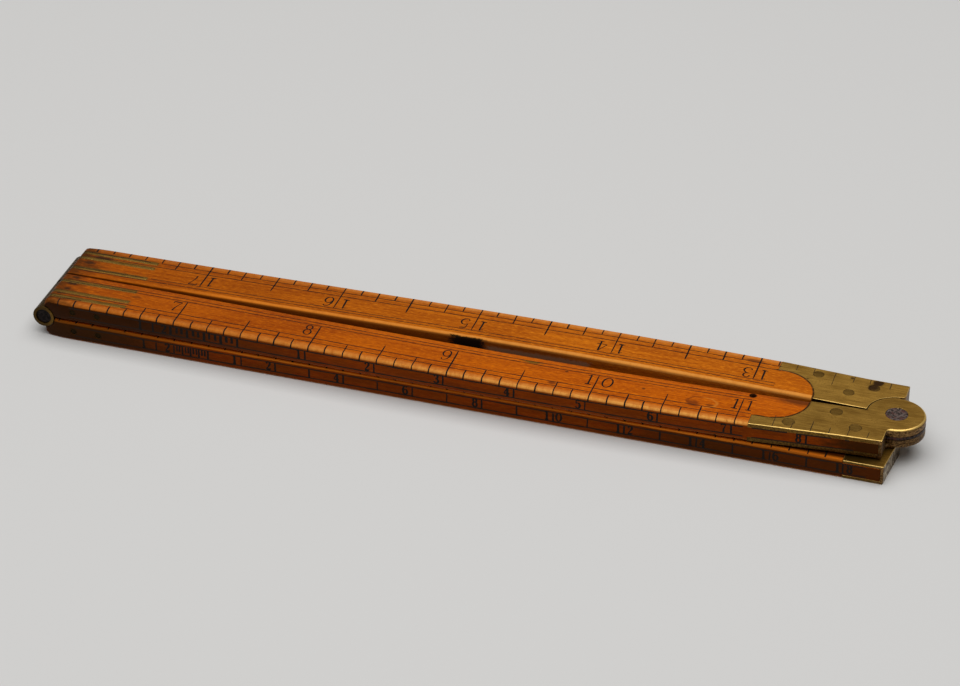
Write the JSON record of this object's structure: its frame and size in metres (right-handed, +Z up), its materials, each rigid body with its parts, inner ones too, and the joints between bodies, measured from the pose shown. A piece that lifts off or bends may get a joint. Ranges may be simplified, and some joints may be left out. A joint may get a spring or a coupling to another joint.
{
  "type": "folding rule",
  "caption": "Slim folding carpenter's rule in boxwood, lying folded, with a round brass arch joint at one end, brass knuckle hinges at the other and brass tips.",
  "frame": {"origin": "middle of the folded rule's length and width, on the surface that it lies on", "axes": "+X along the legs from the folding hinges to the rule joint, +Y from the near half to the far half, +Z up from the outer legs to the inner legs"},
  "size_m": [0.1594, 0.0216, 0.0074],
  "materials": {
    "boxwood": "aged varnish over fine straight grain",
    "aged_brass": "dull aged brass with fine scratches and bright worn edges",
    "dark_steel": "dark grey with rust spots"
  },
  "bodies": {
    "near_inner": {"near_inner_leg": "boxwood", "near_inner_leg_top_arch_plate": "aged_brass", "near_inner_leg_bottom_arch_plate": "aged_brass", "near_inner_leg_end_block": "aged_brass", "near_inner_leg_rivet_1": "aged_brass", "near_inner_leg_rivet_2": "aged_brass", "near_inner_leg_rivet_3": "aged_brass", "near_inner_leg_hinge_leaf_1": "aged_brass", "near_inner_leg_hinge_leaf_2": "aged_brass", "near_inner_leg_hinge_leaf_3": "aged_brass", "near_inner_leg_hinge_pin": "dark_steel", "near_inner_leg_cross_pin_1": "aged_brass", "near_inner_leg_cross_pin_2": "aged_brass", "rule_joint_pin": "dark_steel"},
    "far_inner": {"far_inner_leg": "boxwood", "far_inner_leg_top_arch_plate": "aged_brass", "far_inner_leg_bottom_arch_plate": "aged_brass", "far_inner_leg_end_block": "aged_brass", "far_inner_leg_rivet_1": "aged_brass", "far_inner_leg_rivet_2": "aged_brass", "far_inner_leg_rivet_3": "aged_brass", "far_inner_leg_hinge_leaf_1": "aged_brass", "far_inner_leg_hinge_leaf_2": "aged_brass", "far_inner_leg_hinge_leaf_3": "aged_brass", "far_inner_leg_hinge_pin": "dark_steel", "far_inner_leg_cross_pin_1": "aged_brass", "far_inner_leg_cross_pin_2": "aged_brass", "rule_joint_middle_leaf": "dark_steel"},
    "near_outer": {"near_outer_leg": "boxwood", "near_outer_leg_hinge_leaf_1": "aged_brass", "near_outer_leg_hinge_leaf_2": "aged_brass", "near_outer_leg_cross_pin_1": "aged_brass", "near_outer_leg_cross_pin_2": "aged_brass", "near_outer_leg_tip_cap": "aged_brass", "near_outer_leg_tip_pin_1": "aged_brass", "near_outer_leg_tip_pin_2": "aged_brass", "closing_pin": "aged_brass"},
    "far_outer": {"far_outer_leg": "boxwood", "far_outer_leg_hinge_leaf_1": "aged_brass", "far_outer_leg_hinge_leaf_2": "aged_brass", "far_outer_leg_cross_pin_1": "aged_brass", "far_outer_leg_cross_pin_2": "aged_brass", "far_outer_leg_tip_cap": "aged_brass", "far_outer_leg_tip_pin_1": "aged_brass", "far_outer_leg_tip_pin_2": "aged_brass"}
  },
  "joints": [
    {"name": "rule_joint", "type": "hinge", "parent": "near_inner", "child": "far_inner", "pos_m": [0.0747, 0, 0.0057], "axis": [0, 0, -1], "range_deg": [0, 180]},
    {"name": "near_fold", "type": "hinge", "parent": "near_inner", "child": "near_outer", "pos_m": [-0.0777, -0.00495, 0.00373], "axis": [0, 1, 0], "range_deg": [0, 180]},
    {"name": "far_fold", "type": "hinge", "parent": "far_inner", "child": "far_outer", "pos_m": [-0.0777, 0.00495, 0.00373], "axis": [0, 1, 0], "range_deg": [0, 180]}
  ]
}
